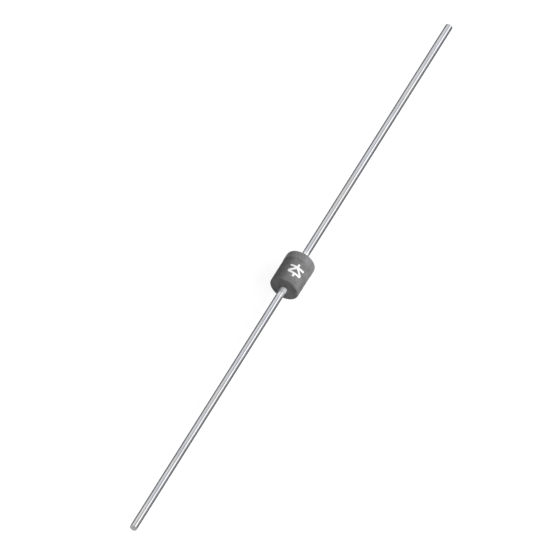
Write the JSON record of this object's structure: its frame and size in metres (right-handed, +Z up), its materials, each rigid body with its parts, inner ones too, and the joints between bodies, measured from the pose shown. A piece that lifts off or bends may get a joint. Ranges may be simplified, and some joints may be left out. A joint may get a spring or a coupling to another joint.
{
  "type": "axial rectifier diode",
  "caption": "Axial rectifier diode: a small dark moulded body with a cathode band and long straight tinned leads, lying on its side.",
  "frame": {"origin": "middle of the moulded body, on the axis of the leads, which is also the middle of the whole part", "axes": "+X along the leads towards the cathode, +Z up from the surface that the diode lies on"},
  "size_m": [0.0582, 0.0026, 0.0026],
  "materials": {
    "epoxy": "dark grey moulded epoxy, satin",
    "tinned_copper": "bright tin plate, drawn lengthwise",
    "silicon": "polished grey silicon",
    "solder": "dull reflowed solder",
    "silicone": "white cured silicone, smooth",
    "band_ink": "grey marking ink, thin"
  },
  "bodies": {
    "root": {"moulded_body": "epoxy", "anode_lead": "tinned_copper", "cathode_lead": "tinned_copper", "silicon_die": "silicon", "anode_solder": "solder", "cathode_solder": "solder", "junction_coating": "silicone", "cathode_band": "band_ink"}
  },
  "joints": []
}
